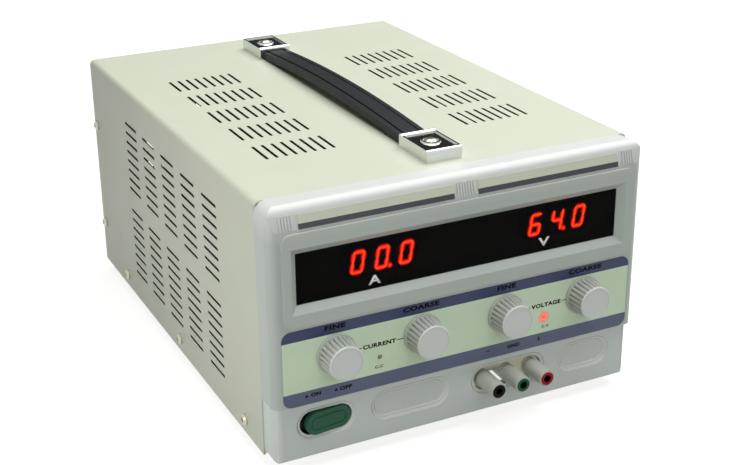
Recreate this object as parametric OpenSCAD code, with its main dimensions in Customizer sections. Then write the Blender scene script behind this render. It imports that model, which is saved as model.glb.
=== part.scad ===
// Bench power supply: a steel case with a moulded front, twin LED meters, four control knobs,
// a rocker power switch, three binding posts, a strap handle, a fan and a mains inlet.
// Millimetres, +Z up, front towards -Y, origin under the middle of the part on the bench.

/* [Case] */
// Width of the steel cover over its sides
case_w = 265; // [258:1:280]
// Height of the steel cover, lower edge to top
case_h = 171.5; // [170:0.5:185]
// Depth of the steel cover, bezel seam to rear edge
case_d = 345; // [340:1:365]
// Thickness of the cover, tray and rear panel steel
sheet_t = 1.2; // [1:0.1:1.6]
// Outside radius of the two top bends of the cover
bend_r = 4; // [3:0.5:6]
// Height of a rubber foot
foot_h = 8; // [7:0.5:12]
// Diameter of a rubber foot where it meets the tray
foot_d = 20; // [16:1:24]
// Inset of the feet from the sides of the case
foot_inset = 34; // [30:1:40]

/* [Vents] */
// Length of a vent slot
slot_l = 27; // [20:1:30]
// Width of a vent slot
slot_w = 2.2; // [1.6:0.1:2.6]
// Slots in one block of vents
slots = 8; // [5:1:8]
// Blocks of vents from front to rear
vent_blocks = 5; // [3:1:5]
// Distance between the blocks of vents
vent_pitch = 41.3; // [34:0.1:41.5]
// Distance between the slots in a side wall
side_slot_pitch = 7.4; // [6:0.1:7.6]
// Distance between the slots in the top
top_slot_pitch = 6.7; // [5:0.1:7]

/* [Front] */
// Depth of the moulded bezel in front of the seam
bezel_d = 20; // [18:0.5:24]
// Wall thickness of the bezel
bezel_t = 3; // [2.5:0.1:3.5]
// Height of the set-back lower front above the case's lower edge
step_z = 40.5; // [40:0.5:42]
// How far the lower front is set back
step_d = 3.5; // [2.5:0.5:4.5]
// How far the lower front is inset at each side
low_inset = 0.8; // [0.4:0.1:2]
// Distance from the display window to each side of the case
window_side = 18; // [16:0.5:27]
// Height of the display window
window_h = 33.7; // [30:0.1:35]
// How far the window's middle lies below the middle of its frame
window_drop = 0.6; // [0:0.1:2]
// Thickness of the tinted window
window_t = 2.4; // [1.5:0.1:2.8]
// Distance from the printed control overlay to each side of the case
overlay_side = 6.5; // [6.5:0.5:9.5]
// Height of the printed control overlay
overlay_h = 51.4; // [48:0.2:51.6]
// Thickness of the control overlay
overlay_t = 0.5; // [0.3:0.1:0.8]

/* [Controls] */
// Distance of each meter's column of controls from the middle
meter_x = 60.3; // [58:0.1:62]
// Half the distance between a meter's fine and coarse knobs
knob_spread = 29.8; // [26:0.1:30]
// Height of the knobs' axes above the case's lower edge
knob_z = 71.2; // [70:0.2:73]
// Diameter of a knob's base flange
knob_d = 26.6; // [24:0.2:28]
// Height of a knob
knob_h = 15; // [14:0.5:18]
// Grip flutes round a knob
knob_flutes = 24; // [18:1:26]
// Diameter of a potentiometer shaft
shaft_d = 6; // [5:0.1:6.2]
// Height of the status lamps above the case's lower edge
lamp_z = 61.5; // [58:0.5:63]
// Diameter of a status lamp
lamp_d = 3; // [2.8:0.1:4]

/* [Lower front] */
// Height of the oblong recesses' middle above the case's lower edge
pill_z = 24.2; // [23:0.1:25]
// Height of an oblong recess
pill_h = 21.8; // [20:0.2:23]
// Length of the outer two oblong recesses
short_pill_w = 41; // [39:0.5:43]
// Length of the inner two oblong recesses
long_pill_w = 57; // [55:0.5:58]
// Width of the ledge round an oblong recess
rim_w = 2.5; // [2:0.1:2.8]
// Distance between the binding posts
post_pitch = 18.4; // [18:0.1:18.8]
// How far the binding posts stand out of the lower front
post_reach = 18.5; // [17:0.5:19]
// Diameter of the banana plug sockets
socket_d = 4; // [3.8:0.1:4.2]
// Turns that a binding post's cap unscrews
post_turns = 5; // [3:1:5]
// Thread pitch of the binding posts
post_thread = 1; // [0.8:0.1:1]
// Tilt of the rocker to each side
rocker_tilt = 7; // [5:0.5:8]

/* [Handle] */
// Length over the handle's two end caps
handle_l = 309; // [295:1:315]
// Width of a handle end cap
handle_cap_w = 25; // [24:0.5:27]
// Length of a handle end cap
handle_cap_l = 37.5; // [34:0.5:40]
// Height of a handle end cap
handle_cap_h = 8.6; // [8.6:0.1:11]
// Distance from the bezel seam to the front end cap
handle_y = 8; // [6:0.5:12]
// Width of the handle strap
strap_w = 20; // [18:0.2:21.8]
// Thickness of the handle strap
strap_t = 5.2; // [4.6:0.1:5.4]
// Rise of the strap's arch in the middle
strap_rise = 4.5; // [4:0.1:7]

/* [Rear] */
// Side of the square cooling fan
fan_w = 80; // [80:1:92]
// Thickness of the cooling fan
fan_t = 25; // [20:1:25]
// Distance of the fan's axis to the left of the middle
fan_x = 62; // [58:1:66]
// Height of the fan's axis above the case's lower edge
fan_z = 96; // [92:1:100]
// Blades on the fan
fan_blades = 7; // [5:1:9]
// Distance of the mains inlet to the right of the middle
inlet_x = 66; // [60:1:72]
// Height of the mains inlet above the case's lower edge
inlet_z = 62; // [50:1:80]

/* [Hidden] */
$fn = 48;
eps = 0.01;
fit = 0.3;          // free gap between neighbouring sheet and moulded pieces
slip = 0.05;        // radial running clearance of a shaft in its bore
knob_gap = 0.6;     // gap between a knob and the overlay
guard_wire = 2;     // diameter of the fan guard's wire
guard_stand = 4;    // height of the fan guard's rings over the rear panel

inner_w = case_w - 2 * sheet_t;
rear_recess = 1;    // how far the rear panel sits inside the cover's rear edge
rear_y = case_d - rear_recess;
front_reach = bezel_d + knob_gap + knob_h;
rear_reach = rear_y + guard_stand + guard_wire / 2;
seam_y = (front_reach - rear_reach) / 2;

screw_d = 4;
screw_head_d = 8;
screw_head_h = 2.4;
tray_lip = 19;
tray_screw_z = 10;
tray_screw_y = [30, case_d / 2 - 16, case_d - 63];
rear_screw_z = [35, 119];
rear_screw_y = rear_y - 6;
foot_y = [38, case_d - 40];
foot_screw_d = 4;

front_y = -bezel_d;             // plane of the bezel's upper front
low_y = front_y + step_d;       // plane of the lower front
brow_z = case_h - 14;           // where the sloped brow above the window starts
brow_top_z = case_h - 3.7;
brow_lean = 2.9;                // how far the brow leans back at its top
brow_r = 7;                     // radius between the brow and the bezel's top
side_r = 6;                     // radius of the bezel's upright front edges
crown_r = 8;                    // radius of the bezel's two top corners
frame_w = case_w - 16;
frame_h = brow_z - 2 - (step_z + overlay_h + 3);
frame_z = step_z + overlay_h + 3 + frame_h / 2;
frame_r = 6;
frame_t = 1.6;                  // height of the raised frame round the window
taper_w = 4.5;                  // width of the slope from the frame to the window
overlay_z = step_z + overlay_h / 2 + 0.4;
overlay_r = 6;
overlay_w = case_w - 2 * overlay_side;
window_w = case_w - 2 * window_side;
window_z = frame_z - window_drop;
window_y = front_y + bezel_t;   // the window's front face
window_lap = 2;                 // how far the window reaches behind the bezel
strip_gap = 8.5;                // distance of the name strips from the middle
strip_w = case_w / 2 - strip_gap - 20;
strip_h = 8.9;
strip_t = 0.5;
strip_x = strip_gap + strip_w / 2;
rib_pitch = 1.9;
rib_w = 1;
rib_h = 0.7;

knob_x = [-meter_x - knob_spread, -meter_x + knob_spread, meter_x - knob_spread, meter_x + knob_spread];
knob_y = front_y - knob_gap;
bush_d = shaft_d + 2.2;
pot_d = 24;
pot_l = 9;
pot_nut_h = 2.2;
pot_nut_w = 11;
shaft_reach = knob_h - 4;       // how far the shaft goes into the knob
skirt_depth = 4;                // recess under the knob that clears the nut
cap_inlay_d = knob_d - 6.6;
cap_inlay_h = 1;
digit_w = 12.6;
digit_h = 19;
digit_d = 8;
digit_pitch = 16.6;
digits_x = [-55, 71.7];
digits_z = window_z + 0.4;
digit_y = window_y + window_t + 1.2;
board_t = 1.6;
meter_board_y = digit_y + digit_d;
boss_x = window_w / 2 + 6.5;
boss_d = 6;

pill_room = case_w / 2 - short_pill_w - long_pill_w;    // free width beside the recesses of one half
long_pill_x = long_pill_w / 2 + pill_room * 8 / 34.5;
short_pill_x = (case_w - short_pill_w) / 2 - pill_room * 16 / 34.5;
hole_h = pill_h - 2 * rim_w;
short_hole_w = short_pill_w - 2 * rim_w;
long_hole_w = long_pill_w - 2 * rim_w;
ledge_d = 1.2;                  // depth of the ledge in each oblong recess
blank_d = 0.8;                  // further depth of the two blank recesses
low_z = 1;                      // height of the bezel's lower edge over the case's
low_r = 4;                      // radius of the bezel's two bottom corners
well_d = 5;                     // depth of the terminal well behind the lower front
well_t = 1.8;
board_y = low_y + well_d;       // front face of the terminal board
post_x = [long_pill_x - post_pitch, long_pill_x, long_pill_x + post_pitch];
post_d = 6;
collar_d = 11;
collar_h = 3;
link_t = 0.8;
ring_d = 9.2;
ring_l = 5.5;
cap_base_d = 12;
cap_front_d = 11.4;
post_front_y = low_y - post_reach;
cap_rear_y = board_y - collar_h - link_t - 0.4;
stud_front_y = post_front_y + ring_l + 0.2;
stud_rear_y = board_y + 16;
socket_l = 12;
rocker_x = -short_pill_x;
rocker_w = short_hole_w - 4;
rocker_h = hole_h - 1.4;
rocker_t = 4;
pivot_y = low_y + 10.5;
pivot_d = 3;
hub_w = 8;
hub_h = 9;
switch_wall = 3;
switch_w = 28;
switch_l = 20;

strap_base = 0.6;               // height of the strap's underside over the cover at an end cap
strap_span = handle_l - 2 * handle_cap_l;
strap_r = (pow(strap_span / 2, 2) + pow(strap_rise, 2)) / (2 * strap_rise);
strap_tuck = 20;                // length of strap inside each end cap
handle_mid_y = handle_y + handle_l / 2;
cap_wall = 1.2;
cap_recess = 1.4;
insert_w = handle_cap_w - 2.4;
insert_l = handle_cap_l - 7.2;
insert_y = 2.8;                 // where an insert starts, from the cap's closed end
insert_t = 0.6;

fan_bore = fan_w - 4;
fan_hub_d = 34;
fan_hole_pitch = fan_w - 8.5;
fan_front_y = rear_y - sheet_t - fan_t;
inlet_w = 48;
inlet_h = 34;
inlet_t = 3;
inlet_hole_pitch = 40;
socket_w = 24.4;
socket_h = 16.4;
socket_depth = 15;
drawer_w = 21;
drawer_h = 7;
drawer_l = 24;

// Case frame: x across the middle, y = 0 at the bezel seam, z = 0 at the cover's lower edge
module in_case() translate([0, seam_y, foot_h]) children();

// Extrusions of a front outline (x, z) along y, of a side outline (y, z) along x
module along_y(from, to) translate([0, to, 0]) rotate([90, 0, 0]) linear_extrude(to - from) children();
module along_x(from, to) translate([from, 0, 0]) rotate([90, 0, 90]) linear_extrude(to - from) children();

// Round bar along y, along x
module bar_y(d, from, to) translate([0, to, 0]) rotate([90, 0, 0]) cylinder(d = d, h = to - from);
module bar_x(d, from, to) translate([from, 0, 0]) rotate([0, 90, 0]) cylinder(d = d, h = to - from);

// Outline with two rounded top corners, standing on y = 0
module arch_outline(w, h, r) {
    translate([-w / 2, 0]) square([w, h - r]);
    translate([-w / 2 + r, 0]) square([w - 2 * r, h]);
    for (s = [-1, 1]) translate([s * (w / 2 - r), h - r]) circle(r);
}

// Centred outline with four rounded corners
module round_outline(w, h, r) {
    square([w - 2 * r, h], center = true);
    square([w, h - 2 * r], center = true);
    for (sx = [-1, 1], sy = [-1, 1]) translate([sx * (w / 2 - r), sy * (h / 2 - r)]) circle(r);
}

// Centred oblong outline with round ends
module pill_outline(w, h) {
    square([w - h, h], center = true);
    for (s = [-1, 1]) translate([s * (w - h) / 2, 0]) circle(h / 2);
}

// Pan head screw, its head's seat at the origin, pointing along -z
module pan_screw(d, head_d, head_h, length) {
    difference() {
        union() {
            cylinder(d = head_d, h = head_h * 0.45);
            translate([0, 0, head_h * 0.45]) cylinder(d1 = head_d, d2 = head_d * 0.55, h = head_h * 0.55);
            translate([0, 0, -length]) cylinder(d = d, h = length + eps);
        }
        for (a = [0, 90]) rotate(a) translate([-head_d * 0.26, -0.5, head_h * 0.5]) cube([head_d * 0.52, 1, head_h]);
    }
}

// CASE

module side_slots() {
    vents_l = (vent_blocks - 1) * vent_pitch;
    first_y = case_d - 87.5 - vents_l - slot_l / 2;
    for (block = [0 : vent_blocks - 1], bank = [0, 1], i = [0 : slots - 1])
        translate([first_y + block * vent_pitch, case_h - 26.5 - bank * 69.9 - i * side_slot_pitch])
            pill_outline(slot_l, slot_w);
}

module top_slots() {
    vents_l = (vent_blocks - 1) * vent_pitch;
    first_y = case_d - 89.3 - vents_l - slot_l / 2;
    for (side = [-1, 1], block = [0 : vent_blocks - 1], i = [0 : slots - 1])
        translate([side * 73 + (i - (slots - 1) / 2) * top_slot_pitch, first_y + block * vent_pitch])
            rotate(90) pill_outline(slot_l, slot_w);
}

module cover_screw_holes(d) {
    for (y = tray_screw_y) translate([0, y, tray_screw_z]) bar_x(d, -case_w, case_w);
    for (z = rear_screw_z) translate([0, rear_screw_y, z]) bar_x(d, -case_w, case_w);
}

module handle_screw_holes(d) {
    for (y = handle_screw_y()) translate([0, y, case_h - 20]) cylinder(d = d, h = 40);
}

function handle_screw_y() = [handle_y + handle_cap_l / 2 - 1, handle_y + handle_l - handle_cap_l / 2 + 1];

module cover() color([0.89, 0.9, 0.83]) in_case() difference() {
    along_y(0, case_d) difference() {
        arch_outline(case_w, case_h, bend_r);
        translate([0, -1]) arch_outline(case_w - 2 * sheet_t, case_h - sheet_t + 1, bend_r - sheet_t);
    }
    along_x(-case_w, case_w) side_slots();
    translate([0, 0, case_h - 2 * sheet_t]) linear_extrude(3 * sheet_t) top_slots();
    cover_screw_holes(screw_d + 2 * slip + 0.3);
    handle_screw_holes(screw_d + 2 * slip + 0.3);
}

module base_tray() color([0.74, 0.75, 0.74]) in_case() difference() {
    along_y(1, rear_y - sheet_t) difference() {
        translate([-inner_w / 2, 0]) square([inner_w, tray_lip]);
        translate([-inner_w / 2 + sheet_t, sheet_t]) square([inner_w - 2 * sheet_t, tray_lip]);
    }
    cover_screw_holes(screw_d + 2 * slip);
    for (sx = [-1, 1], y = foot_y) translate([sx * (case_w / 2 - foot_inset), y, -1])
        cylinder(d = foot_screw_d + 2 * slip, h = 4 * sheet_t);
}

module rear_panel() color([0.74, 0.75, 0.74]) in_case() difference() {
    union() {
        along_y(rear_y - sheet_t, rear_y)
            arch_outline(inner_w, case_h - sheet_t, bend_r - sheet_t);
        for (s = [-1, 1]) translate([s * (inner_w - sheet_t) / 2, 0, 0])
            translate([-sheet_t / 2, rear_y - 12, tray_lip + 2])
                cube([sheet_t, 12, case_h - tray_lip - 2 - bend_r - 2]);
    }
    cover_screw_holes(screw_d + 2 * slip);
    translate([-fan_x, 0, fan_z]) {
        bar_y(fan_bore, rear_y - 5, rear_y + 5);
        for (sx = [-1, 1], sz = [-1, 1]) translate([sx, 0, sz] * fan_hole_pitch / 2)
            bar_y(screw_d + 2 * slip, rear_y - 5, rear_y + 5);
    }
    translate([inlet_x, 0, inlet_z]) {
        along_y(rear_y - 5, rear_y + 5) square([inlet_body_w() + 2 * fit, inlet_body_h() + 2 * fit], center = true);
        for (s = [-1, 1]) translate([s * inlet_hole_pitch / 2, 0, 0]) bar_y(3.4, rear_y - 5, rear_y + 5);
    }
}

module cover_screws() color([0.8, 0.8, 0.74]) in_case() {
    for (s = [-1, 1]) {
        for (y = tray_screw_y) translate([s * case_w / 2, y, tray_screw_z])
            rotate([0, s * 90, 0]) pan_screw(screw_d, screw_head_d, screw_head_h, 8);
        for (z = rear_screw_z) translate([s * case_w / 2, rear_screw_y, z])
            rotate([0, s * 90, 0]) pan_screw(screw_d, screw_head_d, screw_head_h, 8);
    }
}

module at_feet() for (sx = [-1, 1], y = foot_y) translate([sx * (case_w / 2 - foot_inset), seam_y + y, 0]) children();

module feet() color([0.08, 0.08, 0.08]) at_feet() rotate_extrude() polygon([
    [foot_screw_d / 2 + slip, 3], [4.4, 3], [4.4, 0], [foot_d / 2 - 3, 0], [foot_d / 2 - 1.6, 1],
    [foot_d / 2, foot_h], [foot_screw_d / 2 + slip, foot_h]]);

module foot_screws() color([0.8, 0.8, 0.74]) at_feet() translate([0, 0, 3]) rotate([180, 0, 0])
    pan_screw(foot_screw_d, 8, 2.2, foot_h + 3);

// FRONT

// Side outline (y, z) of the bezel's upper part, closed along the seam
module bezel_side() {
    lean = atan(brow_lean / (brow_top_z - brow_z));
    roll_z = case_h - brow_r;
    roll_y = front_y + (brow_r + (roll_z - brow_z) * sin(lean)) / cos(lean);
    polygon([[0, step_z], [front_y, step_z], [front_y, brow_z],
        [roll_y - brow_r * cos(lean), roll_z + brow_r * sin(lean)], [roll_y, case_h], [0, case_h]]);
    translate([roll_y, roll_z]) circle(brow_r + 0.01);
}

// Side outline (y, z) of the set-back lower part, with a rounded lower edge
module bezel_low_side() {
    edge_r = 1.5;
    translate([low_y, low_z + edge_r]) square([-low_y, step_z + 1 - low_z - edge_r]);
    translate([low_y + edge_r, low_z]) square([-low_y - edge_r, step_z - low_z]);
    translate([low_y + edge_r, low_z + edge_r]) circle(edge_r);
}

// Plan outline (x, y) with rounded upright front edges
module bezel_plan(w, depth) mirror([0, 1]) arch_outline(w, depth, side_r);

module bezel_body() {
    low_w = case_w - 2 * low_inset;
    intersection() {
        along_x(-case_w / 2, case_w / 2) bezel_side();
        linear_extrude(case_h) bezel_plan(case_w, bezel_d);
        along_y(front_y, 0) arch_outline(case_w, case_h, crown_r);
    }
    intersection() {
        along_x(-low_w / 2, low_w / 2) bezel_low_side();
        linear_extrude(step_z + 1) bezel_plan(low_w, -low_y);
        along_y(low_y, 0) translate([0, step_z + 1]) mirror([0, 1]) arch_outline(low_w, step_z + 1 - low_z, low_r);
    }
}

// Hollow behind the bezel's front wall, open at the seam
module bezel_hollow() {
    inside_w = case_w - 2 * (bezel_t + low_inset);
    floor_z = low_z + bezel_t;
    along_x(-inside_w / 2, inside_w / 2) polygon([[1, floor_z], [low_y + bezel_t, floor_z],
        [low_y + bezel_t, step_z + bezel_t], [front_y + bezel_t, step_z + bezel_t],
        [front_y + bezel_t, brow_z - 1], [front_y + bezel_t + brow_lean, brow_top_z - bezel_t], [1, case_h - bezel_t]]);
}

// Raised frame round the window, with its slope down to the glass
module window_frame() along_y(front_y - frame_t, front_y + eps) translate([0, frame_z])
    round_outline(frame_w, frame_h, frame_r);

module window_slope() {
    lip = 0.6;
    translate([0, 0, window_z]) {
        hull() {
            translate([0, front_y - frame_t - eps, 0]) cube([window_w + 2 * taper_w, eps, window_h + 2 * taper_w], center = true);
            translate([0, window_y - lip, 0]) cube([window_w, eps, window_h], center = true);
        }
        translate([0, window_y, 0]) cube([window_w, 4 * lip, window_h], center = true);
    }
}

// Grip ribs on the brow beside and between the two name strips
module brow_ribs() {
    lean = atan(brow_lean / (brow_top_z - brow_z));
    for (group = [[12 - case_w / 2, 5], [0, 7], [case_w / 2 - 12, 5]], i = [0 : group[1] - 1])
        translate([group[0] + (i - (group[1] - 1) / 2) * rib_pitch, front_y, brow_z]) rotate([-lean, 0, 0])
            translate([-rib_w / 2, -rib_h, 0.6]) cube([rib_w, rib_h + 0.5, strip_h]);
}

// Oblong hollow with walls that slope in by its depth, y = 0 where its outline is w by h
module pill_bowl(w, h, depth) {
    over = 0.5;
    half = (w - h) / 2;
    wide = h / 2 + over;
    tight = h / 2 - depth;
    for (s = [-1, 1]) translate([s * half, depth, 0]) rotate([90, 0, 0]) cylinder(r1 = tight, r2 = wide, h = depth + over);
    along_x(-half, half) polygon([[-over, -wide], [depth, -tight], [depth, tight], [-over, wide]]);
}

// Oblong recesses across the lower front; the two that hold nothing are a little deeper inside their ledge
module pill_recesses() {
    for (pill = [[-short_pill_x, short_pill_w], [-long_pill_x, long_pill_w],
            [long_pill_x, long_pill_w], [short_pill_x, short_pill_w]])
        translate([pill[0], low_y, pill_z]) pill_bowl(pill[1], pill_h, ledge_d);
    for (blank = [[-long_pill_x, long_hole_w], [short_pill_x, short_hole_w]])
        translate([blank[0], low_y + ledge_d, pill_z]) pill_bowl(blank[1], hole_h, blank_d);
}

// Bosses behind the front wall that carry the meter board
module board_bosses() for (sx = [-1, 1], sz = [-1, 1]) translate([sx * boss_x, 0, window_z + sz * 12])
    bar_y(boss_d, window_y - 0.5, meter_board_y);

// Moulded well behind the opening for the binding posts
module terminal_well() translate([long_pill_x, 0, pill_z]) along_y(low_y + bezel_t - 0.5, board_y) difference() {
    pill_outline(long_hole_w + 2 * well_t, hole_h + 2 * well_t);
    pill_outline(long_hole_w, hole_h);
}

module front_bezel() color([0.75, 0.76, 0.74]) in_case() difference() {
    union() {
        difference() {
            union() {
                bezel_body();
                window_frame();
                brow_ribs();
            }
            bezel_hollow();
        }
        terminal_well();
        board_bosses();
    }
    window_slope();
    pill_recesses();
    translate([0, 0, overlay_z]) along_y(front_y - 1, front_y + overlay_t) round_outline(overlay_w + 0.4, overlay_h + 0.4, overlay_r);
    for (x = knob_x) translate([x, 0, knob_z]) bar_y(bush_d + 2 * slip, front_y - 1, front_y + bezel_t + 1);
    for (s = [-1, 1]) translate([s * meter_x, 0, lamp_z]) bar_y(lamp_d + 2 * slip, front_y - 1, front_y + bezel_t + 1);
    translate([rocker_x, 0, pill_z]) along_y(low_y - 2, low_y + bezel_t + 1) pill_outline(short_hole_w, hole_h);
    translate([long_pill_x, 0, pill_z]) along_y(low_y - 2, low_y + bezel_t + 1) pill_outline(long_hole_w, hole_h);
}

module display_window() color([0.03, 0.01, 0.01]) in_case() translate([0, 0, window_z])
    along_y(window_y, window_y + window_t) square([window_w + 2 * window_lap, window_h + 2 * window_lap], center = true);

module control_overlay() color([0.67, 0.72, 0.6]) in_case() difference() {
    translate([0, 0, overlay_z]) along_y(front_y, front_y + overlay_t) round_outline(overlay_w, overlay_h, overlay_r);
    for (x = knob_x) translate([x, 0, knob_z]) bar_y(bush_d + 2 * slip, front_y - 1, front_y + 1);
    for (s = [-1, 1]) translate([s * meter_x, 0, lamp_z]) bar_y(lamp_d + 2 * slip, front_y - 1, front_y + 1);
}

module name_strips() color([0.68, 0.72, 0.6]) in_case() {
    lean = atan(brow_lean / (brow_top_z - brow_z));
    for (s = [-1, 1]) translate([s * strip_x, front_y, brow_z]) rotate([-lean, 0, 0])
        translate([-strip_w / 2, -strip_t, 0]) cube([strip_w, strip_t, strip_h]);
}

// METERS AND LAMPS

module digit_row(x) for (i = [-1, 0, 1]) translate([x + i * digit_pitch - digit_w / 2, digit_y, digits_z - digit_h / 2])
    cube([digit_w, digit_d, digit_h]);

module amps_digits() color([0.12, 0.11, 0.11]) in_case() digit_row(digits_x[0]);
module volts_digits() color([0.12, 0.11, 0.11]) in_case() digit_row(digits_x[1]);

module display_board() color([0.1, 0.35, 0.16]) in_case() translate([0, 0, window_z])
    along_y(meter_board_y, meter_board_y + board_t) translate([0, -4]) square([2 * boss_x + boss_d, window_h + 12], center = true);

// A lamp: dome in front of the overlay, body through the bezel's wall, flange behind it
module lamp(x) in_case() translate([x, 0, lamp_z]) {
    dome_h = 1;
    bar_y(lamp_d, front_y - dome_h + lamp_d / 2, front_y + bezel_t + 2);
    intersection() {
        translate([0, front_y - dome_h + lamp_d / 2, 0]) sphere(d = lamp_d);
        bar_y(lamp_d + 1, front_y - dome_h - 1, front_y - dome_h + lamp_d / 2 + eps);
    }
    bar_y(lamp_d + 0.9, front_y + bezel_t, front_y + bezel_t + 1);
}

module cc_lamp() color([0.55, 0.5, 0.48]) lamp(-meter_x);
module cv_lamp() color([0.9, 0.2, 0.15]) lamp(meter_x);

// CONTROLS

module potentiometers() color([0.55, 0.56, 0.58]) in_case() for (x = knob_x) translate([x, 0, knob_z]) difference() {
    union() {
        bar_y(pot_d, front_y + bezel_t, front_y + bezel_t + pot_l);
        bar_y(bush_d, front_y - pot_nut_h - 0.4, front_y + bezel_t + eps);
        translate([-8, front_y + bezel_t + 3, -pot_d / 2 - 6]) cube([16, 1.6, 8]);
    }
    bar_y(shaft_d + 2 * slip, front_y - 20, front_y + bezel_t + pot_l - 2);
}

module pot_nuts() color([0.8, 0.8, 0.8]) in_case() for (x = knob_x) translate([x, 0, knob_z])
    translate([0, front_y, 0]) rotate([90, 0, 0]) difference() {
        cylinder(d = pot_nut_w / cos(30), h = pot_nut_h - 0.1, $fn = 6);
        translate([0, 0, -1]) cylinder(d = bush_d + 2 * slip, h = pot_nut_h + 2);
    }

module at_knob(i) in_case() translate([knob_x[i], knob_y, knob_z]) rotate([90, 0, 0]) children();

// Fluted push-on knob, z = 0 at its base
module knob(i) color([0.78, 0.77, 0.74]) at_knob(i) difference() {
    flange_h = 1.2;
    edge_h = 0.7;
    flute_r = 1.25;
    flute_d = 1;
    foot_r = knob_d / 2 - 1;
    face_r = knob_d / 2 - 1.9;
    union() {
        cylinder(d = knob_d, h = flange_h);
        cylinder(r1 = foot_r, r2 = face_r, h = knob_h - edge_h);
        translate([0, 0, knob_h - edge_h]) cylinder(r1 = face_r, r2 = face_r - edge_h, h = edge_h);
    }
    for (k = [0 : knob_flutes - 1]) rotate(k * 360 / knob_flutes) translate([foot_r + flute_r - flute_d, 0, flange_h])
        rotate([0, 2.5, 0]) cylinder(r = flute_r, h = knob_h, $fn = 24);
    translate([0, 0, knob_h - cap_inlay_h]) cylinder(d = cap_inlay_d + 2 * slip, h = 2);
    translate([0, 0, -1]) cylinder(d = cap_inlay_d - 2, h = skirt_depth + 1);
    translate([0, 0, -1]) cylinder(d = shaft_d, h = shaft_reach + 1);
}

module knob_cap(i) color([0.72, 0.73, 0.72]) at_knob(i) translate([0, 0, knob_h - cap_inlay_h])
    cylinder(d = cap_inlay_d, h = cap_inlay_h - 0.2);

module pot_shaft(i) color([0.8, 0.8, 0.8]) at_knob(i) translate([0, 0, -knob_gap - bezel_t - pot_l + 3])
    cylinder(d = shaft_d, h = knob_gap + bezel_t + pot_l - 3 + shaft_reach);

// POWER SWITCH

module at_pivot() in_case() translate([rocker_x, pivot_y, pill_z]) children();

module rocker_shape() {
    face_y = low_y - 0.6 - pivot_y;
    difference() {
        along_y(face_y, face_y + rocker_t) pill_outline(rocker_w, rocker_h);
        along_y(face_y - 1, face_y + 0.4) difference() {
            pill_outline(rocker_w - 6.4, rocker_h - 6.4);
            pill_outline(rocker_w - 7.6, rocker_h - 7.6);
        }
    }
    along_y(face_y + rocker_t - eps, 2) square([hub_w, hub_h], center = true);
    cylinder(d = pivot_d, h = hub_h + 2 * switch_wall - 0.6, center = true);
}

module power_rocker() color([0.1, 0.32, 0.22]) at_pivot() rotate(rocker_tilt) rocker_shape();

// Switch: a collar behind the front wall, then the body whose side walls carry the rocker's pivot
module switch_body() color([0.06, 0.06, 0.06]) at_pivot() difference() {
    wall_y = low_y + bezel_t - pivot_y;
    mouth_y = wall_y + 5;
    cavity_h = hub_h + 1;
    union() {
        along_y(wall_y, mouth_y) difference() {
            round_outline(short_hole_w + 4, hole_h + 4, 4);
            pill_outline(short_hole_w, hole_h);
        }
        along_y(mouth_y - eps, mouth_y + 1.5) round_outline(short_hole_w + 4, hole_h + 4, 4);
        translate([-switch_w / 2, mouth_y, -cavity_h / 2 - switch_wall]) cube([switch_w, switch_l, cavity_h + 2 * switch_wall]);
    }
    translate([-switch_w / 2 + switch_wall, mouth_y - 1, -cavity_h / 2]) cube([switch_w - 2 * switch_wall, 9, cavity_h]);
    cylinder(d = pivot_d + 2 * slip, h = 40, center = true);
}

// BINDING POSTS

module at_posts() for (x = post_x) translate([x, 0, pill_z]) children();

module terminal_board() color([0.75, 0.7, 0.55]) in_case() difference() {
    translate([long_pill_x, 0, pill_z]) along_y(board_y, board_y + 2)
        round_outline(long_hole_w + 2 * well_t + 6, hole_h + 2 * well_t + 4, 3);
    at_posts() bar_y(post_d + 2 * slip, board_y - 5, board_y + 5);
}

module post_collars() color([0.72, 0.71, 0.68]) in_case() at_posts() difference() {
    bar_y(collar_d, board_y - collar_h, board_y);
    bar_y(post_d, board_y - 10, board_y + 5);
}

module post_studs() color([0.8, 0.66, 0.36]) in_case() at_posts() difference() {
    bar_y(post_d, stud_front_y, stud_rear_y);
    bar_y(socket_d, stud_front_y - 1, stud_front_y + socket_l);
}

module post_nuts() color([0.8, 0.66, 0.36]) in_case() at_posts() difference() {
    translate([0, board_y + 2 + 3, 0]) rotate([90, 0, 0]) cylinder(d = 10 / cos(30), h = 3, $fn = 6);
    bar_y(post_d, board_y, board_y + 10);
}

// Earth link clamped between the first two posts
module ground_link() color([0.85, 0.85, 0.85]) in_case() difference() {
    translate([(post_x[0] + post_x[1]) / 2, 0, pill_z])
        along_y(board_y - collar_h - link_t, board_y - collar_h) pill_outline(post_pitch + 9, 9);
    at_posts() bar_y(post_d + 2 * slip, board_y - 10, board_y + 5);
}

// Screw cap of a post, with a seat for the coloured ring in its nose
module post_cap(i) color([0.74, 0.73, 0.7]) in_case() translate([post_x[i], 0, pill_z]) difference() {
    union() {
        translate([0, cap_rear_y, 0]) rotate([90, 0, 0])
            cylinder(d1 = cap_base_d, d2 = cap_front_d, h = cap_rear_y - post_front_y - 0.6);
        bar_y(cap_front_d - 0.8, post_front_y, post_front_y + 1);
    }
    bar_y(post_d + 2 * slip, post_front_y - 1, cap_rear_y + 1);
    bar_y(ring_d, post_front_y - 1, post_front_y + ring_l);
}

module post_ring(i, shade) color(shade) in_case() translate([post_x[i], 0, pill_z]) difference() {
    bar_y(ring_d - 0.02, post_front_y - 0.3, post_front_y + ring_l);
    bar_y(socket_d + 0.4, post_front_y - 1, post_front_y + ring_l + 1);
}

// HANDLE

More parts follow.
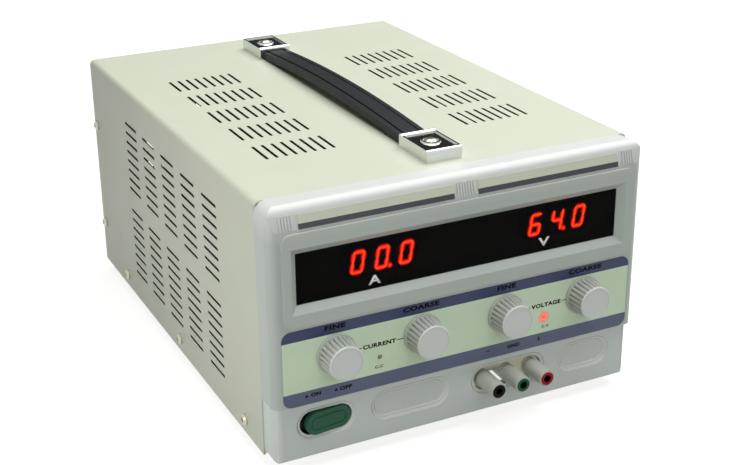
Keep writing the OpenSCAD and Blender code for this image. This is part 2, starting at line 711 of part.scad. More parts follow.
// Side outline (y, z) of an arched layer of the strap between two heights over its underside
module strap_layer(low, high) {
    reach = strap_span / 2 + strap_tuck;
    centre_z = case_h + strap_base + strap_rise - strap_r;
    intersection() {
        translate([handle_mid_y, centre_z]) difference() {
            circle(strap_r + high, $fn = 240);
            circle(strap_r + low, $fn = 240);
        }
        translate([handle_mid_y - reach, case_h - 20]) square([2 * reach, 60]);
    }
}

// Strap with a raised middle band and a bead along each edge; flat ends lie on the cover inside the end caps
module handle_strap() color([0.1, 0.1, 0.11]) in_case() difference() {
    groove = 0.9;
    groove_w = 1.6;
    bead_w = 3.2;
    band_w = strap_w - 2 * bead_w - 2 * groove_w;
    union() {
        along_x(-strap_w / 2, strap_w / 2) strap_layer(0, strap_t - groove);
        along_x(-band_w / 2, band_w / 2) strap_layer(strap_t - groove - eps, strap_t);
        for (s = [-1, 1]) translate([s * (strap_w - bead_w) / 2, 0, 0])
            along_x(-bead_w / 2, bead_w / 2) strap_layer(strap_t - groove - eps, strap_t - 0.3);
        for (s = [-1, 1]) translate([-strap_w / 2, handle_mid_y + s * (strap_span + strap_tuck) / 2 - strap_tuck / 2, case_h])
            cube([strap_w, strap_tuck, strap_t - groove]);
    }
    translate([-strap_w, handle_y, case_h - 20]) cube([2 * strap_w, handle_l, 20]);
    handle_screw_holes(screw_d + 2 * slip + 0.4);
}

// One end cap, its closed end at y = 0 and its mouth at y = handle_cap_l, standing on z = 0.
// A rounded bar stands over the mouth.
module end_cap() difference() {
    lip = 1.5;
    bar_r = 2;
    bar_up = 0.8;
    along_x(-handle_cap_w / 2, handle_cap_w / 2) {
        square([handle_cap_l, handle_cap_h - lip]);
        translate([lip, 0]) square([handle_cap_l - lip - bar_r, handle_cap_h]);
        translate([lip, handle_cap_h - lip]) circle(lip);
        translate([handle_cap_l - bar_r, handle_cap_h + bar_up - bar_r]) circle(bar_r);
    }
    translate([-strap_w / 2 - fit, handle_cap_l - strap_tuck - 1, -1])
        cube([strap_w + 2 * fit, strap_tuck + 2, handle_cap_h - cap_wall - cap_recess + 1]);
    translate([-insert_w / 2, insert_y, handle_cap_h - cap_recess]) cube([insert_w, insert_l, 3]);
    translate([0, handle_cap_l / 2 - 1, -1]) cylinder(d = screw_d + 2 * slip, h = 20);
}

module at_handle_ends() {
    translate([0, handle_y, case_h]) children();
    translate([0, handle_y + handle_l, case_h]) rotate(180) children();
}

module handle_caps() color([0.85, 0.86, 0.87]) in_case() at_handle_ends() end_cap();

// Bright plate let into the top of an end cap, with a raised ring round its screw
module handle_inserts() color([0.8, 0.81, 0.82]) in_case() at_handle_ends() {
    ring_outer = 13.5;
    ring_inner = 11;
    translate([0, 0, handle_cap_h - cap_recess]) difference() {
        translate([-insert_w / 2 + 0.05, insert_y + 0.05, 0]) cube([insert_w - 0.1, insert_l - 0.1, insert_t]);
        translate([0, handle_cap_l / 2 - 1, -1]) cylinder(d = screw_d + 2 * slip, h = 4);
    }
    translate([0, handle_cap_l / 2 - 1, handle_cap_h - cap_recess + insert_t - eps]) difference() {
        cylinder(d1 = ring_outer, d2 = ring_outer - 1, h = 0.8);
        translate([0, 0, -1]) cylinder(d = ring_inner, h = 4);
    }
}

module handle_screws() color([0.85, 0.85, 0.83]) in_case() at_handle_ends()
    translate([0, handle_cap_l / 2 - 1, handle_cap_h - cap_recess + insert_t]) pan_screw(screw_d, 8.5, 2, handle_cap_h + 6);

// REAR

module at_fan() in_case() translate([-fan_x, 0, fan_z]) children();

module fan_frame() color([0.06, 0.06, 0.06]) at_fan() {
    strut_t = 3;
    difference() {
        along_y(fan_front_y, fan_front_y + fan_t) round_outline(fan_w, fan_w, 4);
        bar_y(fan_bore, fan_front_y - 1, fan_front_y + fan_t + 1);
        for (sx = [-1, 1], sz = [-1, 1]) translate([sx, 0, sz] * fan_hole_pitch / 2)
            bar_y(screw_d + 2 * slip, fan_front_y - 1, fan_front_y + fan_t + 1);
    }
    difference() {
        union() {
            bar_y(fan_hub_d, fan_front_y, fan_front_y + strut_t);
            for (a = [45, 135]) rotate([0, a, 0]) translate([-fan_bore / 2 - 1, fan_front_y, -2]) cube([fan_bore + 2, strut_t, 4]);
        }
        bar_y(5 + 2 * slip, fan_front_y - 1, fan_front_y + strut_t + 1);
    }
}

module fan_impeller() color([0.09, 0.09, 0.1]) at_fan() {
    blade_d = fan_bore - 3;
    hub_y = fan_front_y + 4;
    hub_l = fan_t - 6;
    bar_y(5, fan_front_y + 0.5, hub_y + eps);
    bar_y(fan_hub_d, hub_y, hub_y + hub_l);
    intersection() {
        for (k = [0 : fan_blades - 1]) rotate([0, k * 360 / fan_blades, 0]) translate([0, hub_y + hub_l / 2, 0])
            rotate([0, 0, 40]) translate([-1, -hub_l, 10]) cube([2, 2 * hub_l, blade_d / 2]);
        difference() {
            bar_y(blade_d, hub_y + 1, hub_y + hub_l - 1);
            bar_y(fan_hub_d - 4, hub_y - 5, hub_y + hub_l + 5);
        }
    }
}

module fan_guard() color([0.75, 0.76, 0.77]) at_fan() {
    ring_y = rear_y + guard_stand;
    for (r = [14, 23, 32, 41]) translate([0, ring_y, 0]) rotate([90, 0, 0])
        rotate_extrude() translate([r, 0]) circle(d = guard_wire, $fn = 24);
    for (a = [45, 135]) rotate([0, a, 0]) {
        arm = fan_hole_pitch / sqrt(2);
        leg = arm - 4.6;
        translate([0, ring_y - guard_wire * 0.4, 0]) bar_x(guard_wire, -leg, leg);
        for (s = [-1, 1]) translate([s * arm, 0, 0]) difference() {
            bar_y(9, rear_y, rear_y + guard_wire);
            bar_y(screw_d + 2 * slip, rear_y - 1, rear_y + 4);
        }
        for (s = [-1, 1]) translate([s * leg, 0, 0]) bar_y(guard_wire, rear_y + 0.4, ring_y);
    }
}

module fan_screws() color([0.8, 0.8, 0.8]) at_fan() for (sx = [-1, 1], sz = [-1, 1])
    translate([sx, 0, sz] * fan_hole_pitch / 2 + [0, rear_y + guard_wire, 0])
        rotate([-90, 0, 0]) pan_screw(screw_d, 7, 2.2, 20);

function inlet_body_w() = socket_w + 4;
function inlet_body_h() = inlet_h - 4;

module at_inlet() in_case() translate([inlet_x, rear_y, inlet_z]) children();

module inlet_socket_outline() polygon([[-socket_w / 2, -socket_h / 2], [socket_w / 2, -socket_h / 2],
    [socket_w / 2, socket_h / 2 - 4], [socket_w / 2 - 4, socket_h / 2],
    [-socket_w / 2 + 4, socket_h / 2], [-socket_w / 2, socket_h / 2 - 4]]);

module mains_inlet() color([0.05, 0.05, 0.05]) at_inlet() {
    socket_up = 6;
    drawer_down = -10.5;
    difference() {
        union() {
            along_y(0, inlet_t) {
                square([inlet_w - 20, inlet_h], center = true);
                for (s = [-1, 1]) translate([s * inlet_hole_pitch / 2, 0]) circle(4.5);
                square([inlet_hole_pitch, 9], center = true);
            }
            along_y(-30, eps) square([inlet_body_w(), inlet_body_h()], center = true);
        }
        translate([0, 0, socket_up]) along_y(inlet_t - socket_depth, inlet_t + 1) inlet_socket_outline();
        translate([0, 0, drawer_down]) along_y(inlet_t - drawer_l - 0.4, inlet_t + 1) square([drawer_w + 0.4, drawer_h + 0.4], center = true);
        for (s = [-1, 1]) translate([s * inlet_hole_pitch / 2, 0, 0]) bar_y(3.4, -1, inlet_t + 1);
    }
    for (pin = [[-7, 6], [0, 10], [7, 6]]) translate([pin[0], 0, pin[1]])
        along_y(inlet_t - socket_depth - eps, inlet_t - 2) square([2, 4], center = true);
}

module fuse_drawer() color([0.07, 0.07, 0.07]) at_inlet() translate([0, 0, -10.5]) difference() {
    union() {
        along_y(inlet_t - drawer_l, inlet_t) square([drawer_w, drawer_h], center = true);
        along_y(inlet_t - eps, inlet_t + 1) square([drawer_w - 8, 2], center = true);
    }
    translate([0, 0, 1.2]) along_y(inlet_t - drawer_l + 3, inlet_t - 3) square([drawer_w - 4, drawer_h], center = true);
}

// INSIDE

core_w = 96;
core_d = 80;
core_h = 80;
core_limb = 16;
core_x = 56;
core_y = case_d - 150;

module at_core() in_case() translate([core_x, core_y, sheet_t]) children();

module transformer_core() color([0.4, 0.42, 0.45]) at_core() {
    window = core_w / 2 - 1.5 * core_limb;
    along_y(-core_d / 4, core_d / 4) difference() {
        translate([-core_w / 2, 0]) square([core_w, core_h]);
        for (s = [-1, 1]) translate([s * (core_limb / 2 + window / 2 + 4) - window / 2, core_limb])
            square([window, core_h - 2 * core_limb]);
    }
}

module transformer_winding() color([0.72, 0.48, 0.2]) at_core() {
    window = core_w / 2 - 1.5 * core_limb;
    coil_w = core_limb + 8 + 2 * (window - 2);
    difference() {
        translate([-coil_w / 2, -core_d / 2, core_limb + 1]) cube([coil_w, core_d, core_h - 2 * core_limb - 2]);
        translate([-core_limb / 2 - 4, -core_d / 4, 0]) cube([core_limb + 8, core_d / 2, core_h]);
    }
}

sink_w = 90;
sink_h = 90;
sink_l = 110;
sink_x = -58;
sink_y = case_d - 190;

module at_sink() in_case() translate([sink_x, sink_y, sheet_t]) children();

module heat_sink() color([0.7, 0.71, 0.72]) at_sink() along_y(0, sink_l) {
    translate([-sink_w / 2, 0]) square([8, sink_h + 24]);
    for (k = [0 : 8]) translate([-sink_w / 2, 24 + k * (sink_h - 2.5) / 8]) square([sink_w * 0.6, 2.5]);
}

module power_transistors() color([0.12, 0.12, 0.12]) at_sink() for (k = [0 : 3])
    translate([-sink_w / 2 - 5, 12 + k * 24, 54]) cube([5, 16, 21]);

module bridge_rectifier() color([0.15, 0.15, 0.16]) in_case() translate([0, 125, sheet_t]) difference() {
    translate([-14, -14, 0]) cube([28, 28, 10]);
    translate([0, 0, -1]) cylinder(d = 5, h = 20);
}

module filter_capacitors() color([0.12, 0.2, 0.4]) in_case() for (k = [0 : 2])
    translate([20 + k * 38, 72, sheet_t]) {
        cylinder(d = 34, h = 66);
        translate([0, 0, 66 - eps]) cylinder(d = 30, h = 1.5);
    }

circuit_w = 96;
circuit_d = 90;
circuit_z = 14;
circuit_x = -66;
circuit_y = 78;

module at_circuit_corners() in_case() for (sx = [-1, 1], sy = [-1, 1])
    translate([circuit_x + sx * (circuit_w / 2 - 5), circuit_y + sy * (circuit_d / 2 - 5), 0]) children();

module control_board() color([0.1, 0.35, 0.16]) difference() {
    in_case() translate([circuit_x, circuit_y, circuit_z]) {
        translate([-circuit_w / 2, -circuit_d / 2, 0]) cube([circuit_w, circuit_d, board_t]);
        for (k = [0 : 3]) translate([-30 + k * 20, 12, board_t - eps]) cylinder(d = 10, h = 14);
        translate([-32, -30, board_t - eps]) cube([20, 7, 4]);
        translate([6, -32, board_t - eps]) cube([24, 12, 10]);
    }
    at_circuit_corners() cylinder(d = 3.2, h = 40);
}

module board_standoffs() color([0.8, 0.7, 0.4]) at_circuit_corners() translate([0, 0, sheet_t])
    cylinder(d = 6, h = circuit_z - sheet_t, $fn = 6);

cover();
base_tray();
rear_panel();
feet();
foot_screws();
cover_screws();
front_bezel();
display_window();
control_overlay();
name_strips();
display_board();
amps_digits();
volts_digits();
cc_lamp();
cv_lamp();
potentiometers();
pot_nuts();
knob(0);  // current_fine_knob
knob_cap(0);  // current_fine_knob_cap
pot_shaft(0);  // current_fine_shaft
knob(1);  // current_coarse_knob
knob_cap(1);  // current_coarse_knob_cap
pot_shaft(1);  // current_coarse_shaft
knob(2);  // voltage_fine_knob
knob_cap(2);  // voltage_fine_knob_cap
pot_shaft(2);  // voltage_fine_shaft
knob(3);  // voltage_coarse_knob
knob_cap(3);  // voltage_coarse_knob_cap
pot_shaft(3);  // voltage_coarse_shaft
switch_body();
power_rocker();
terminal_board();
post_collars();
post_studs();
post_nuts();
ground_link();
post_cap(0);  // black_post_cap
post_ring(0, [0.04, 0.04, 0.04]);  // black_post_ring
post_cap(1);  // green_post_cap
post_ring(1, [0.1, 0.35, 0.24]);  // green_post_ring
post_cap(2);  // red_post_cap
post_ring(2, [0.6, 0.07, 0.12]);  // red_post_ring
handle_strap();
handle_caps();
handle_inserts();
handle_screws();
fan_frame();
fan_impeller();
fan_guard();
fan_screws();
mains_inlet();
fuse_drawer();
transformer_core();
transformer_winding();
heat_sink();
power_transistors();
bridge_rectifier();
filter_capacitors();
control_board();
board_standoffs();
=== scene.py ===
import math
import bmesh
import bpy
from mathutils import Euler, Matrix, Vector


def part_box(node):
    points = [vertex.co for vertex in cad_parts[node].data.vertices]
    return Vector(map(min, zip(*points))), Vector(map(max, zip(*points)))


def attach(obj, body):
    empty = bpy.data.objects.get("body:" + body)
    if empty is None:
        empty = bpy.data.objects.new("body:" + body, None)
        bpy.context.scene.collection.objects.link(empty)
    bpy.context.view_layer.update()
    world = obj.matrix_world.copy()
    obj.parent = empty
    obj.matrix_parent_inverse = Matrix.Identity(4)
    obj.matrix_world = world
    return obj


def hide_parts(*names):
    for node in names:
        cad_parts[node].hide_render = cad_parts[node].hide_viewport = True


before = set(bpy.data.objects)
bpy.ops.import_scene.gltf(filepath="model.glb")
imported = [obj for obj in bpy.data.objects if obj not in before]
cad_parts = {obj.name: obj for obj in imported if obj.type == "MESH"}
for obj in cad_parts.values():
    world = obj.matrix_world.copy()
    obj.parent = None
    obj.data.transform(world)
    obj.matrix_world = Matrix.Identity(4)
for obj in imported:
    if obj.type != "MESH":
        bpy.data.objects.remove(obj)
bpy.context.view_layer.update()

# The studio: a pale seamless floor, a white surround, a wide soft lamp over the bench and two small
# ones for the front and the left side. A dark card stands behind for the plated caps to reflect. The
# camera is a little above the supply and to the left of its front.


class Reading:
    """One output of a finish's nodes. Sums written with it become Math nodes."""

    def __init__(self, finish, socket):
        self.finish, self.socket = finish, socket

    def sum(self, operation, first, second):
        return self.finish.node("ShaderNodeMath", {"operation": operation}, {0: first, 1: second})

    def __add__(self, other):
        return self.sum("ADD", self, other)

    def __sub__(self, other):
        return self.sum("SUBTRACT", self, other)

    def __rsub__(self, other):
        return self.sum("SUBTRACT", other, self)

    def __mul__(self, other):
        return self.sum("MULTIPLY", self, other)

    def __truediv__(self, other):
        return self.sum("DIVIDE", self, other)

    def __gt__(self, other):
        return self.sum("GREATER_THAN", self, other)

    def __lt__(self, other):
        return self.sum("LESS_THAN", self, other)

    __radd__ = __add__
    __rmul__ = __mul__


class Finish:
    """The node tree of one finish, read in the supply's own coordinates, in metres."""

    def __init__(self, name, tree=None):
        if tree is None:
            self.material = bpy.data.materials.new(name)
            self.material.use_nodes = True
            tree = self.material.node_tree
        self.tree = tree
        self.tree.nodes.clear()

    def node(self, kind, settings={}, sockets={}, out=0):
        """A new node with its settings, then its sockets, and the reading of one output."""
        made = self.tree.nodes.new(kind)
        for key, value in settings.items():
            setattr(made, key, value)
        for key, value in sockets.items():
            if isinstance(value, Reading):
                self.tree.links.new(value.socket, made.inputs[key])
            else:
                made.inputs[key].default_value = value
        return Reading(self, made.outputs[out]) if made.outputs else None

    def place(self, axis=None):
        """Where a point lies on the supply, or one coordinate of it."""
        where = self.node("ShaderNodeTexCoord", out="Object")
        return where if axis is None else self.node("ShaderNodeSeparateXYZ", {}, {0: where}, axis)

    def grain(self, size, detail=2.0, stretch=(1, 1, 1)):
        """Uneven patches of a given size, from 0 to 1."""
        spot = self.node("ShaderNodeMapping", {}, {"Vector": self.place(), "Scale": stretch})
        return self.node("ShaderNodeTexNoise", {}, {"Vector": spot, "Scale": 1 / size, "Detail": detail})

    def blend(self, share, first, second):
        """The first colour, or the second where the share is 1."""
        return self.node("ShaderNodeMix", {"data_type": "RGBA"}, {0: share, 6: first, 7: second}, 2)

    def relief(self, height, depth, strength=1.0):
        """A skin too fine to model, as a bend of the surface's light."""
        return self.node("ShaderNodeBump", {}, {"Strength": strength, "Distance": depth, "Height": height})

    def surface(self, sockets):
        """The finish itself, from the values or readings of its shader."""
        shader = self.node("ShaderNodeBsdfPrincipled", {}, sockets)
        self.node("ShaderNodeOutputMaterial", {}, {"Surface": shader})
        return self


def tint(red, green, blue):
    """A colour as a screen shows it, 0 to 255, made linear."""
    return tuple(
        c / 12.92 if c <= 0.04045 else ((c + 0.055) / 1.055) ** 2.4
        for c in (red / 255, green / 255, blue / 255)
    ) + (1.0,)


def linked(mesh, name):
    """A mesh that is done, as an object in the scene."""
    data = bpy.data.meshes.new(name)
    mesh.to_mesh(data)
    mesh.free()
    made = bpy.data.objects.new(name, data)
    bpy.context.collection.objects.link(made)
    return made


def directly_seen(finish):
    """1 for a ray from the camera, off metal or through glass, and 0 for one that only lights."""
    camera_ray, glossy_ray, transmitted_ray = [
        finish.node("ShaderNodeLightPath", out=kind)
        for kind in ("Is Camera Ray", "Is Glossy Ray", "Is Transmission Ray")
    ]
    return camera_ray + glossy_ray + transmitted_ray


CAMERA_PLACE, CAMERA_TURN = (-0.39805, -0.84497, 0.47084), (67.778, 0.891, -25.626)
camera_data = bpy.data.cameras.new("studio_camera")
camera_data.sensor_width = 36
camera_data.lens = 65.245
camera_data.shift_x = 0.04
camera_data.shift_y = -0.02333
camera = bpy.data.objects.new("studio_camera", camera_data)
bpy.context.collection.objects.link(camera)
camera_turn = Euler([math.radians(angle) for angle in CAMERA_TURN])
camera.matrix_world = Matrix.Translation(CAMERA_PLACE) @ camera_turn.to_matrix().to_4x4()
bpy.context.scene.camera = camera
bpy.context.scene.view_settings.view_transform = "Standard"

FLOOR_HALF, FLOOR_LIFT = 6, 0.82
floor_mesh = bmesh.new()
bmesh.ops.create_grid(floor_mesh, x_segments=1, y_segments=1, size=FLOOR_HALF)
floor = linked(floor_mesh, "studio_floor")
paper = Finish("studio_paper")
matt = paper.node("ShaderNodeBsdfDiffuse", {}, {"Color": (0.34, 0.34, 0.31, 1)})
lift = paper.node("ShaderNodeEmission", {}, {
    "Color": (1, 1, 1, 1),
    "Strength": FLOOR_LIFT * directly_seen(paper),
})
both = paper.node("ShaderNodeAddShader", {}, {0: matt, 1: lift})
paper.node("ShaderNodeOutputMaterial", {}, {"Surface": both})
floor.data.materials.append(paper.material)

FLAG_PLACE, FLAG_WIDE, FLAG_TALL = (0.9, 1.8, 1.3), 3.2, 2.0
flag_mesh = bmesh.new()
bmesh.ops.create_grid(flag_mesh, x_segments=1, y_segments=1, size=0.5)
flag_stand = Matrix.Diagonal((FLAG_WIDE, 1, FLAG_TALL, 1)) @ Matrix.Rotation(math.pi / 2, 4, "X")
flag_stand = Matrix.Translation(FLAG_PLACE) @ flag_stand
bmesh.ops.transform(flag_mesh, verts=flag_mesh.verts, matrix=flag_stand)
flag = linked(flag_mesh, "studio_flag")
flag.visible_camera = flag.visible_diffuse = flag.visible_shadow = flag.visible_transmission = False
cloth = Finish("studio_flag")
cloth.surface({
    "Base Color": cloth.blend(cloth.grain(0.4, 2), tint(20, 21, 22), tint(34, 35, 37)),
    "Roughness": 0.9,
})
flag.data.materials.append(cloth.material)

FILL = 0.06
world = bpy.data.worlds.new("studio_surround")
world.use_nodes = True
bpy.context.scene.world = world
surround = Finish("studio_surround", world.node_tree)
seen = directly_seen(surround)
glow = surround.node("ShaderNodeBackground", {}, {
    "Color": surround.blend(seen, (1, 0.98, 0.86, 1), (1, 1, 1, 1)),
    "Strength": FILL + (1 - FILL) * seen,
})
surround.node("ShaderNodeOutputWorld", {}, {"Surface": glow})


def softbox(name, wide, deep, energy, colour, place, aim):
    """A soft lamp at a place, turned to face another."""
    data = bpy.data.lights.new(name, "AREA")
    data.shape = "RECTANGLE"
    data.size, data.size_y = wide, deep
    data.energy = energy
    data.color = colour
    made = bpy.data.objects.new(name, data)
    bpy.context.collection.objects.link(made)
    turn = (Vector(aim) - Vector(place)).to_track_quat("-Z", "Y")
    made.visible_camera = False
    made.matrix_world = Matrix.Translation(place) @ turn.to_matrix().to_4x4()


softbox("overhead_softbox", 2.0, 2.0, 48, (1, 1, 1), (0.5, 0.05, 1.7), (0.1, 0, 0.1))
softbox("front_softbox", 0.6, 0.6, 2.3, (1, 1, 0.99), (-0.15, -1.1, 0.5), (0.02, -0.17, 0.08))
softbox("side_softbox", 0.25, 0.25, 0.55, (1, 1, 1), (-0.45, -0.19, 0.16), (-0.135, -0.17, 0.05))

# The cover: one sheet of 1.2 mm steel folded over the top and both sides, punched with vent slots,
# sprayed ivory in a satin paint with a fine orange-peel skin. Inside, and on the slot walls except
# near its open ends, its colour is a dark painted shade. Screws hold it to the tray.


def dress(finish, *names):
    """Give a finish to pieces of the frame."""
    for name in names:
        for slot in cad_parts[name].material_slots:
            slot.material = finish.material


# How deep the ivory reaches into a slot, over a bend and in from an open end before the painted
# shade starts, in metres.
LIP, BEND, OPEN_END_CLEAR = 0.0003, 0.0032, 0.012
ivory = Finish("ivory_paint")
peel = ivory.grain(0.0011, 2)
cloud = ivory.grain(0.11, 3)
cover_low, cover_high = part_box("cover")
from_left, from_right = ivory.place("X") - cover_low.x, cover_high.x - ivory.place("X")
from_top = cover_high.z - ivory.place("Z")
from_front, from_rear = ivory.place("Y") - cover_low.y, cover_high.y - ivory.place("Y")
# The outer ivory; inside the cover and deep in the slots the colour is a dark painted shade.
clear_of_painted_shade = (from_front > OPEN_END_CLEAR) * (from_rear > OPEN_END_CLEAR)
clear_of_painted_shade = clear_of_painted_shade * (from_left > LIP) * (from_right > LIP) * (from_top > LIP)
clear_of_painted_shade = clear_of_painted_shade * (from_left + from_top > BEND) * (from_right + from_top > BEND)
ivory.surface({
    "Base Color": ivory.blend(
        clear_of_painted_shade, ivory.blend(cloud, tint(207, 212, 194), tint(201, 206, 187)), tint(24, 24, 23),
    ),
    "Roughness": 0.36 + 0.12 * ivory.grain(0.02, 4),
    "Normal": ivory.relief(peel, 0.00004, 0.5),
})
dress(ivory, "cover")

# The tray and the rear panel: bent from zinc-plated sheet. Rolling leaves faint streaks along the
# sheet and the plating a patchy spangle.
zinc = Finish("zinc_sheet")
streak = zinc.grain(0.0016, 2, (1, 0.06, 1))
spangle = zinc.node("ShaderNodeTexVoronoi", {}, {"Vector": zinc.place(), "Scale": 160}, "Color")
spangle = zinc.node("ShaderNodeSeparateColor", {}, {0: spangle}, "Red")
zinc.surface({
    "Base Color": zinc.blend(spangle, tint(198, 200, 199), tint(180, 183, 184)),
    "Metallic": 0.85,
    "Roughness": 0.34 + 0.2 * streak,
    "Normal": zinc.relief(streak, 0.00002, 0.4),
})
dress(zinc, "base_tray", "rear_panel")

# The feet: four turned discs of black rubber under the tray, each held by a screw in its middle. Dust
# from the bench dulls them.
rubber = Finish("black_rubber")
dust = rubber.grain(0.004, 5)
rubber.surface({
    "Base Color": rubber.blend(dust, tint(34, 34, 35), tint(56, 55, 54)),
    "Roughness": 0.62 + 0.25 * dust,
    "Normal": rubber.relief(rubber.grain(0.0006, 2), 0.00004, 0.5),
})
dress(rubber, "feet")

# The screws: pan heads with a cross recess, nickel plated and slightly yellowed, tool marks round
# their heads.
nickel = Finish("nickel_screw")
handling = nickel.grain(0.0022, 4)
nickel.surface({
    "Base Color": nickel.blend(handling, tint(206, 203, 190), tint(176, 170, 150)),
    "Metallic": 1.0,
    "Roughness": 0.22 + 0.22 * handling,
})
dress(nickel, "cover_screws", "foot_screws", "handle_screws", "fan_screws", "pot_nuts")

# The bezel: one injection-moulded front in cool light grey, with a fine spark-eroded grain. It caps
# the cover's front edge and carries the window, the film and the oblong recesses. Light is painted
# into its colour: a painted highlight on the brow and on the ledges round the recesses, painted
# shade on the recesses' upper and left walls, and painted light on the lower front, which is also
# a cooler grey.

# Heights, and depths behind the lower front, in metres.
BROW_FADE = 0.014
STEP_BACK, STEP_TOP = 0.0035, 0.049
RECESS_LOW, RECESS_TOP = 0.012, 0.046
LEDGE_FROM, LEDGE_TO = 0.0008, 0.0015
WALL_FROM, WALL_TO = 0.0001, 0.0027
moulding = Finish("grey_moulding")
spark = moulding.grain(0.00055, 2)
flow = moulding.grain(0.09, 2)
height = moulding.place("Z")
sunk = moulding.place("Y") - (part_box("control_overlay")[0].y + STEP_BACK)
# A painted highlight on the ledges round the recesses.
ledge_highlight = (sunk > LEDGE_FROM) * (sunk < LEDGE_TO) * (height < RECESS_TOP)
facing = moulding.node("ShaderNodeTexCoord", out="Normal")
facing_x = moulding.node("ShaderNodeSeparateXYZ", {}, {0: facing}, "X")
facing_z = moulding.node("ShaderNodeSeparateXYZ", {}, {0: facing}, "Z")
# Painted shade on the recesses' walls that face down or to the right.
wall_painted_shade = (sunk > WALL_FROM) * (sunk < WALL_TO) * (height < RECESS_TOP) * (height > RECESS_LOW)
wall_painted_shade = wall_painted_shade * 0.9 * (facing_x - facing_z)
# The brow is painted lighter, a painted highlight fading in over BROW_FADE.
brow = 0.5 + (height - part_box("name_strips")[0].z) / BROW_FADE
shade = moulding.blend(flow, tint(189, 198, 194), tint(184, 193, 189))
# The lower front: a cooler grey, painted lighter too as painted light from the floor.
low_tone_and_painted_light = moulding.blend(flow, tint(219, 227, 226), tint(214, 222, 221))
brow_painted_highlight = moulding.blend(flow, tint(214, 218, 216), tint(209, 213, 211))
shade = moulding.blend(height < STEP_TOP, shade, low_tone_and_painted_light)
shade = moulding.blend(brow, shade, brow_painted_highlight)
shade = moulding.blend(0.5 * ledge_highlight, shade, tint(232, 234, 228))
moulding.surface({
    "Base Color": moulding.blend(wall_painted_shade, shade, tint(78, 83, 79)),
    "Roughness": 0.32 + 0.1 * moulding.grain(0.012, 3),
    "Normal": moulding.relief(spark, 0.00003, 0.5),
})
dress(moulding, "front_bezel")

# The digit modules: moulded dark boxes behind the window, three to a readout, on a green board. Each
# shows seven slanted bars and a point, and those in use glow red with an orange heart.
mask = Finish("digit_case")
mask.surface({
    "Base Color": mask.blend(mask.grain(0.003, 2), tint(22, 18, 18), tint(30, 26, 26)),
    "Roughness": 0.45 + 0.2 * mask.grain(0.0015, 2),
})
dress(mask, "amps_digits", "volts_digits")
board_green = Finish("circuit_board")
track = board_green.node("ShaderNodeTexVoronoi", {"feature": "DISTANCE_TO_EDGE"}, {
    "Vector": board_green.place(), "Scale": 240,
})
board_green.surface({
    "Base Color": board_green.blend(track < 0.12, tint(26, 84, 46), tint(70, 128, 72)),
    "Roughness": 0.34 + 0.2 * board_green.grain(0.006, 2),
})
dress(board_green, "display_board", "control_board")

# Millimetres in a metre.
MM = 1000
# Sizes of a digit, its bars and its point, in millimetres.
DIGIT_TALL, DIGIT_WIDE, DIGIT_RAISE = 13.2, 6.8, 0.7
PITCH, LEAN = 16.6, math.tan(math.radians(9))
BAR, HEART, BAR_DEEP, BAR_OVERLAP = 3.2, 1.2, 0.15, 0.5
HEART_PROUD = 0.16
POINT_SHARE, POINT_OUT, POINT_UP = 0.56, 1.7, 0.2
# Each bar's middle, in shares of the digit's width and half its height, and whether it stands upright.
BARS = {
    "a": (0, 1, 0), "b": (0.5, 0.5, 1), "c": (0.5, -0.5, 1), "d": (0, -1, 0),
    "e": (-0.5, -0.5, 1), "f": (-0.5, 0.5, 1), "g": (0, 0, 0),
}
SHOWN = {"0": "abcdef", "4": "bcfg", "6": "acdefg"}


def pointed_bar(mesh, middle, half, thick, upright):
    """A flat bar with a point at each end, as cut in a digit's mask."""
    tip = thick / 2
    outline = [
        (-half, 0), (-half + tip, -tip), (half - tip, -tip),
        (half, 0), (half - tip, tip), (-half + tip, tip),
    ]
    corners = []
    for along, across in outline:
        x, z = (across, along) if upright else (along, across)
        corners.append(mesh.verts.new((middle[0] + x, 0, middle[1] + z)))
    return mesh.faces.new(corners)


def thicken(mesh, depth):
    """Draw flat outlines out towards the front and turn their faces outwards."""
    raised = bmesh.ops.extrude_face_region(mesh, geom=mesh.faces[:])["geom"]
    front = [part for part in raised if isinstance(part, bmesh.types.BMVert)]
    bmesh.ops.translate(mesh, verts=front, vec=(0, -depth, 0))
    bmesh.ops.recalc_face_normals(mesh, faces=mesh.faces)


def finished(mesh, name):
    """A new piece that is fixed to the case."""
    piece = linked(mesh, name)
    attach(piece, "case")
    return piece


def readout(name, middle_x, middle_z, digits, thick, y, lit):
    """The bars of one three-digit readout that are lit, or those that are not, as one piece."""
    mesh = bmesh.new()
    for place, digit in enumerate(digits):
        for bar, (x, z, upright) in BARS.items():
            if (bar in SHOWN[digit]) != lit:
                continue
            half = (DIGIT_TALL / 2 if upright else DIGIT_WIDE) / 2 + BAR_OVERLAP
            face = pointed_bar(mesh, (x * DIGIT_WIDE, z * DIGIT_TALL / 2), half, thick, upright)
            move = Matrix.Translation(((place - 1) * PITCH, 0, 0))
            bmesh.ops.transform(mesh, verts=face.verts, matrix=move)
            for corner in face.verts:
                corner.co.x += LEAN * corner.co.z
    if lit:
        point = bmesh.ops.create_circle(mesh, cap_ends=True, segments=20, radius=thick * POINT_SHARE)
        spot = Matrix.Translation((DIGIT_WIDE / 2 + POINT_OUT, 0, -DIGIT_TALL / 2 + POINT_UP))
        spot = spot @ Matrix.Rotation(math.pi / 2, 4, "X")
        bmesh.ops.transform(mesh, verts=point["verts"], matrix=spot)
    thicken(mesh, BAR_DEEP)
    stand = Matrix.Scale(1 / MM, 4) @ Matrix.Translation((middle_x, y, middle_z))
    bmesh.ops.transform(mesh, verts=mesh.verts, matrix=stand)
    return finished(mesh, name)


def lit_finish(name, glow, duller_glow, strength):
    """A bar that gives light, with a faint unevenness over its face."""
    shine = Finish(name)
    return shine.surface({
        "Base Color": tint(60, 8, 4),
        "Roughness": 0.4,
        "Emission Color": shine.blend(shine.grain(0.002, 2), glow, duller_glow),
        "Emission Strength": strength,
    })


